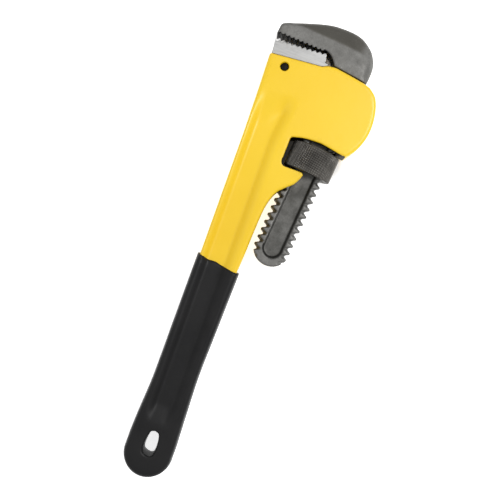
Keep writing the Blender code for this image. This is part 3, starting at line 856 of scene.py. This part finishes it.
# ---- materials ----
class Finish:
    """A Principled material with helpers for the nodes that vary over the surface."""

    def __init__(self, name, **constants):
        self.material = bpy.data.materials.new(name)
        self.material.use_nodes = True
        self.nodes = self.material.node_tree.nodes
        self.links = self.material.node_tree.links
        self.shader = self.nodes["Principled BSDF"]
        for socket, value in constants.items():
            self.shader.inputs[socket.replace("_", " ")].default_value = value
        self.place = self.nodes.new("ShaderNodeTexCoord").outputs["Object"]

    def stretched(self, scale):
        node = self.nodes.new("ShaderNodeMapping")
        node.inputs["Scale"].default_value = scale
        self.links.new(self.place, node.inputs["Vector"])
        return node.outputs["Vector"]

    def noise(self, scale, detail=3.0, roughness=0.55, vector=None, distortion=0.0):
        node = self.nodes.new("ShaderNodeTexNoise")
        node.inputs["Scale"].default_value = scale
        node.inputs["Detail"].default_value = detail
        node.inputs["Roughness"].default_value = roughness
        node.inputs["Distortion"].default_value = distortion
        self.links.new(vector or self.place, node.inputs["Vector"])
        return node.outputs["Fac"]

    def attribute(self, name):
        node = self.nodes.new("ShaderNodeAttribute")
        node.attribute_name = name
        return node.outputs["Fac"]

    def spread(self, value, low, high, out_low=0.0, out_high=1.0):
        """Maps low..high to out_low..out_high, clamped."""
        node = self.nodes.new("ShaderNodeMapRange")
        node.inputs["From Min"].default_value = low
        node.inputs["From Max"].default_value = high
        node.inputs["To Min"].default_value = out_low
        node.inputs["To Max"].default_value = out_high
        self.links.new(value, node.inputs["Value"])
        return node.outputs["Result"]

    def math(self, operation, a, b):
        node = self.nodes.new("ShaderNodeMath")
        node.operation = operation
        for socket, value in zip(node.inputs, (a, b)):
            if isinstance(value, float):
                socket.default_value = value
            else:
                self.links.new(value, socket)
        return node.outputs[0]

    def mix(self, share, a, b):
        """Colour a where share is 0 and b where it is 1. Each is a tuple or a socket."""
        node = self.nodes.new("ShaderNodeMix")
        node.data_type = "RGBA"  # its A and B are inputs 6 and 7, and its result is output 2
        self.links.new(share, node.inputs["Factor"])
        for socket, value in zip(node.inputs[6:8], (a, b)):
            if isinstance(value, tuple):
                socket.default_value = (*value, 1)
            else:
                self.links.new(value, socket)
        return node.outputs[2]

    def feed(self, socket, value):
        self.links.new(value, self.shader.inputs[socket])

    def bump(self, *layers):
        """Layers of (height, depth in millimetres)."""
        normal = None
        for height, depth in layers:
            node = self.nodes.new("ShaderNodeBump")
            node.inputs["Distance"].default_value = depth * mm
            node.inputs["Strength"].default_value = 1.0
            self.links.new(height, node.inputs["Height"])
            if normal is not None:
                self.links.new(normal, node.inputs["Normal"])
            normal = node.outputs["Normal"]
        self.feed("Normal", normal)


def yellow_paint():
    f = Finish("yellow_paint", Coat_Roughness=0.28)
    broad = f.spread(f.noise(14, 2), 0.35, 0.68)
    colour = f.mix(broad, (0.80, 0.520, 0.008), (0.84, 0.565, 0.013))
    speck = f.spread(f.noise(900, 4, 0.7), 0.62, 0.74, 0.0, 0.35)
    colour = f.mix(speck, colour, (0.68, 0.41, 0.004))
    patchy = f.spread(f.noise(240, 4, 0.7), 0.40, 0.62, 0.15, 0.75)
    rim_darkening = f.math("MULTIPLY", f.spread(f.attribute("edge"), 0.45, 1.0), patchy)
    colour = f.mix(rim_darkening, colour, (0.62, 0.36, 0.004))
    # Painted shade: the walls of window and channel go near-black and lose their gloss.
    painted_wall_shade = f.attribute("painted_wall_shade")
    colour = f.mix(f.spread(painted_wall_shade, 0.1, 0.55), colour, (0.020, 0.017, 0.009))
    f.feed("Specular IOR Level", f.spread(painted_wall_shade, 0.1, 0.55, 0.35, 0.08))
    f.feed("Coat Weight", f.spread(painted_wall_shade, 0.1, 0.55, 0.35, 0.0))
    f.feed("Base Color", colour)
    f.feed("Roughness", f.spread(f.noise(60, 4), 0.3, 0.7, 0.34, 0.50))
    f.bump((f.noise(70, 2), 0.16), (f.noise(420, 3, 0.6), 0.050), (f.noise(1500, 2), 0.012))
    return f.material


def black_vinyl():
    f = Finish("black_vinyl", Specular_IOR_Level=0.22)
    broad = f.spread(f.noise(30, 3), 0.35, 0.65)
    colour = f.mix(broad, (0.0065, 0.0065, 0.007), (0.0100, 0.0098, 0.0102))
    dust = f.spread(f.noise(1100, 4, 0.75), 0.60, 0.78, 0.0, 0.5)
    f.feed("Base Color", f.mix(dust, colour, (0.020, 0.020, 0.021)))
    f.feed("Roughness", f.spread(f.noise(90, 5, 0.65), 0.3, 0.7, 0.36, 0.55))
    runs = f.noise(60, 3, 0.5, f.stretched((1.0, 0.28, 1.0)))
    f.bump((runs, 0.5), (f.noise(500, 3, 0.6), 0.035))
    return f.material


def forged_steel():
    f = Finish("forged_steel", Metallic=0.82, Specular_IOR_Level=0.5)
    mottle = f.spread(f.noise(55, 6, 0.65, distortion=0.4), 0.33, 0.68)
    colour = f.mix(mottle, (0.135, 0.133, 0.126), (0.215, 0.213, 0.203))
    grain = f.spread(f.noise(1300, 4, 0.7), 0.38, 0.66)
    colour = f.mix(f.math("MULTIPLY", grain, 0.45), colour, (0.105, 0.100, 0.092))
    # Painted shade: the facet is darker than the flat face.
    colour = f.mix(f.math("MULTIPLY", f.attribute("facet"), 0.72), colour, (0.070, 0.064, 0.052))
    patches = f.spread(f.noise(95, 4, 0.6), 0.38, 0.62, 0.25, 0.62)
    # Painted shade: the panel's recessed floor is darkened in patches.
    colour = f.mix(f.math("MULTIPLY", f.attribute("hollow"), patches), colour, (0.022, 0.021, 0.017))
    # Painted shade: the head's rims are darkened, which dulls their highlight.
    patchy = f.spread(f.noise(300, 3), 0.4, 0.65, 0.5, 0.9)
    rim_darkening = f.math("MULTIPLY", f.spread(f.attribute("edge"), 0.35, 1.0), patchy)
    colour = f.mix(rim_darkening, colour, (0.120, 0.118, 0.112))
    # Painted shade: dark lines along the panel's walls, wider on the side away from the key lamp, and
    # near-black tooth and throat walls.
    painted_groove_shade = f.math("MULTIPLY", f.attribute("painted_groove_shade"), 0.78)
    painted_wall_and_groove_shade = f.math("MAXIMUM", painted_groove_shade, f.spread(f.attribute("scale"), 0.2, 0.8))
    f.feed("Base Color", f.mix(painted_wall_and_groove_shade, colour, (0.006, 0.006, 0.005)))
    f.feed("Roughness", f.spread(f.noise(160, 5, 0.7), 0.3, 0.7, 0.46, 0.66))
    f.bump((f.noise(150, 4, 0.6), 0.14), (f.noise(900, 3, 0.65), 0.035))
    return f.material


def ground_steel():
    f = Finish("bright_steel", Metallic=0.9, Specular_IOR_Level=0.5)
    lines = f.noise(900, 3, 0.6, f.stretched((0.12, 2.2, 0.5)))
    colour = f.mix(f.spread(lines, 0.3, 0.7), (0.37, 0.37, 0.366), (0.455, 0.455, 0.447))
    stain = f.spread(f.noise(130, 4, 0.7), 0.55, 0.75, 0.0, 0.5)
    f.feed("Base Color", f.mix(stain, colour, (0.335, 0.325, 0.31)))
    f.feed("Roughness", f.spread(lines, 0.25, 0.75, 0.34, 0.52))
    f.bump((lines, 0.012), (f.noise(180, 3), 0.02))
    return f.material


def blackened_steel():
    f = Finish("blackened_steel", Metallic=0.8, Specular_IOR_Level=0.5)
    mottle = f.spread(f.noise(160, 5, 0.65), 0.35, 0.66)
    colour = f.mix(mottle, (0.040, 0.036, 0.031), (0.070, 0.065, 0.057))
    patchy = f.spread(f.noise(110, 3), 0.35, 0.65, 0.45, 1.0)
    # The knurl's crests are lighter: worn through the blackening, and a painted highlight.
    crest = f.math("MULTIPLY", f.spread(f.attribute("edge"), 0.35, 1.0), patchy)
    f.feed("Base Color", f.mix(crest, colour, (0.48, 0.46, 0.425)))
    f.feed("Roughness", f.spread(f.noise(400, 4, 0.7), 0.3, 0.7, 0.36, 0.58))
    f.bump((f.noise(1200, 3, 0.65), 0.02))
    return f.material


def dark_pin():
    f = Finish("pin_steel", Metallic=0.3, Specular_IOR_Level=0.2)
    mottle = f.spread(f.noise(600, 4), 0.35, 0.65)
    f.feed("Base Color", f.mix(mottle, (0.003, 0.0025, 0.002), (0.010, 0.008, 0.006)))
    f.feed("Roughness", f.spread(f.noise(900, 4), 0.3, 0.7, 0.45, 0.7))
    f.bump((f.noise(1500, 3), 0.02))
    return f.material


def spring_steel():
    f = Finish("spring_steel", Metallic=0.9, Specular_IOR_Level=0.5)
    blued = f.spread(f.noise(90, 4), 0.35, 0.65)
    f.feed("Base Color", f.mix(blued, (0.13, 0.13, 0.15), (0.24, 0.23, 0.23)))
    f.feed("Roughness", f.spread(f.noise(500, 4), 0.3, 0.7, 0.28, 0.45))
    f.bump((f.noise(1100, 2), 0.01))
    return f.material


# ---- the stage ----
# Painted shade on the floor: places under the nut's window and the jaws, in the drawing frame, and how far
# each reaches. Each glows less than the rest of the floor, and the first, which the housing hides, is also
# painted dark.
PAINTED_SHADE_SPOTS = ((34.5, 230.0, 13), (60.0, 232.0, 10), (41.0, 296.0, 12), (27.0, 299.0, 10), (14.0, 302.0, 7))
SPOT_FADE = 8  # mm
FLOOR_HALF = 4.0  # m
# The floor's glow is painted light that washes out its shadows.
PAINTED_FLOOR_GLOW = (0.02, 0.7)  # in a dark spot and elsewhere
SKY_STRENGTH = 0.66


def floor_finish(z):
    """Pale, with a painted glow that washes out its shadows, and painted shade in the spots: little glow
    in each, and a dark colour in the first.
    """
    pale = Finish("pale_floor", Roughness=0.9, Specular_IOR_Level=0.1, Emission_Color=(1, 1, 1, 1))
    clear = []
    for x, y, reach in PAINTED_SHADE_SPOTS:
        away = pale.nodes.new("ShaderNodeVectorMath")
        away.operation = "DISTANCE"
        away.inputs[1].default_value = (*(DRAWING @ (Vector((x, y, 0)) * mm))[:2], z)
        pale.links.new(pale.place, away.inputs[0])
        clear.append(pale.spread(away.outputs["Value"], reach * mm, (reach + SPOT_FADE) * mm))
    glow = clear[0]
    for share in clear[1:]:
        glow = pale.math("MULTIPLY", glow, share)
    pale.feed("Emission Strength", pale.spread(glow, 0, 1, *PAINTED_FLOOR_GLOW))
    grain = pale.spread(pale.noise(300, 3), 0.3, 0.7)
    even = pale.mix(grain, (0.935, 0.935, 0.935), (0.95, 0.95, 0.95))
    # Painted shadow: the floor is dark under the nut's window.
    pale.feed("Base Color", pale.mix(clear[0], (0.05, 0.05, 0.045), even))
    return pale.material


def make_stage(z):
    """A pale floor at height z, with painted glow and painted shade, and an even white world."""
    mesh = bpy.data.meshes.new("floor")
    corners = [(x * FLOOR_HALF, y * FLOOR_HALF, z) for x, y in ((-1, -1), (1, -1), (1, 1), (-1, 1))]
    mesh.from_pydata(corners, [], [(0, 1, 2, 3)])
    mesh.materials.append(floor_finish(z))
    floor = bpy.data.objects.new("floor", mesh)
    bpy.context.scene.collection.objects.link(floor)
    world = bpy.data.worlds.new("studio")
    bpy.context.scene.world = world
    world.use_nodes = True
    sky = world.node_tree.nodes["Background"]
    sky.inputs["Color"].default_value = (1, 1, 1, 1)
    sky.inputs["Strength"].default_value = SKY_STRENGTH


def add_light(name, location, size, power):
    """A round lamp that faces the middle of the wrench."""
    data = bpy.data.lights.new(name, "AREA")
    data.shape = "DISK"
    data.size = size
    data.energy = power
    light = bpy.data.objects.new(name, data)
    bpy.context.scene.collection.objects.link(light)
    light.location = location
    light.rotation_euler = (-Vector(location)).to_track_quat("-Z", "Y").to_euler()


VIEW_TURN = 19.8  # degrees from the picture's upright to the handle's back edge
VIEW_CENTRE = (33.5, 159.9, 10.0)  # drawing frame
VIEW_HEIGHT = 600.0  # mm above the centre
VIEW_WIDTH = 320.0  # mm seen at the centre's height
SENSOR_WIDTH = 36.0


def add_camera():
    data = bpy.data.cameras.new("camera")
    data.sensor_width = SENSOR_WIDTH
    data.lens = SENSOR_WIDTH * VIEW_HEIGHT / VIEW_WIDTH
    data.clip_start = 0.01
    camera = bpy.data.objects.new("camera", data)
    bpy.context.scene.collection.objects.link(camera)
    camera.location = ORIGIN + Vector(VIEW_CENTRE) * mm + Vector((0, 0, VIEW_HEIGHT * mm))
    camera.rotation_euler = (0, 0, math.radians(VIEW_TURN))
    bpy.context.scene.camera = camera


# ---- the wrench ----
def dress(piece, name, body, node, material, angle=38.0):
    """Names a finished piece, gives it its finish and ties it to the CAD.

    Edges over the angle stay sharp. A piece with no body stays unattached."""
    piece.data.transform(piece.matrix_world)
    piece.matrix_world = Matrix.Identity(4)
    piece.name = name
    piece.data.name = name
    piece.data.materials.clear()
    piece.data.materials.append(material)
    shade(piece, angle)
    if body:
        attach(piece, body)
    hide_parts(node)


def build():
    casting, grip = make_casting_and_grip()
    dress(casting, "casting_body", "handle", "handle_casting", yellow_paint())
    dress(grip, "dipped_grip", "handle", "grip_coating", black_vinyl())
    dress(make_heel_jaw(), "heel_jaw_block", "handle", "heel_jaw", ground_steel(), 8.0)
    dress(make_heel_pin(), "heel_pin", "handle", "heel_jaw_pin", dark_pin())
    dress(make_hook_jaw(), "hook_jaw_forging", "hook_jaw", "hook_jaw", forged_steel(), 45.0)
    dress(make_nut(), "knurled_nut", "adjusting_nut", "adjusting_nut",
          blackened_steel(), 55.0)
    sprung = spring_steel()
    leaf = make_leaf_spring()
    dress(leaf, "leaf_strip", None, "leaf_spring", sprung)
    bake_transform(leaf)
    dress(make_rivet(), "strip_rivet", "handle", "spring_rivet", sprung)
    coil = make_coil_spring()
    dress(coil, "coil", "handle", "coil_spring", sprung)
    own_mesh(coil)


build()
make_stage(cad_bounds[0][2])
add_light("key", (0.38, 0.30, 0.88), 0.3, 4.9)
add_light("fill", (-0.6, -0.1, 0.9), 0.9, 1.0)
add_camera()
bpy.context.scene.view_settings.view_transform = "Standard"
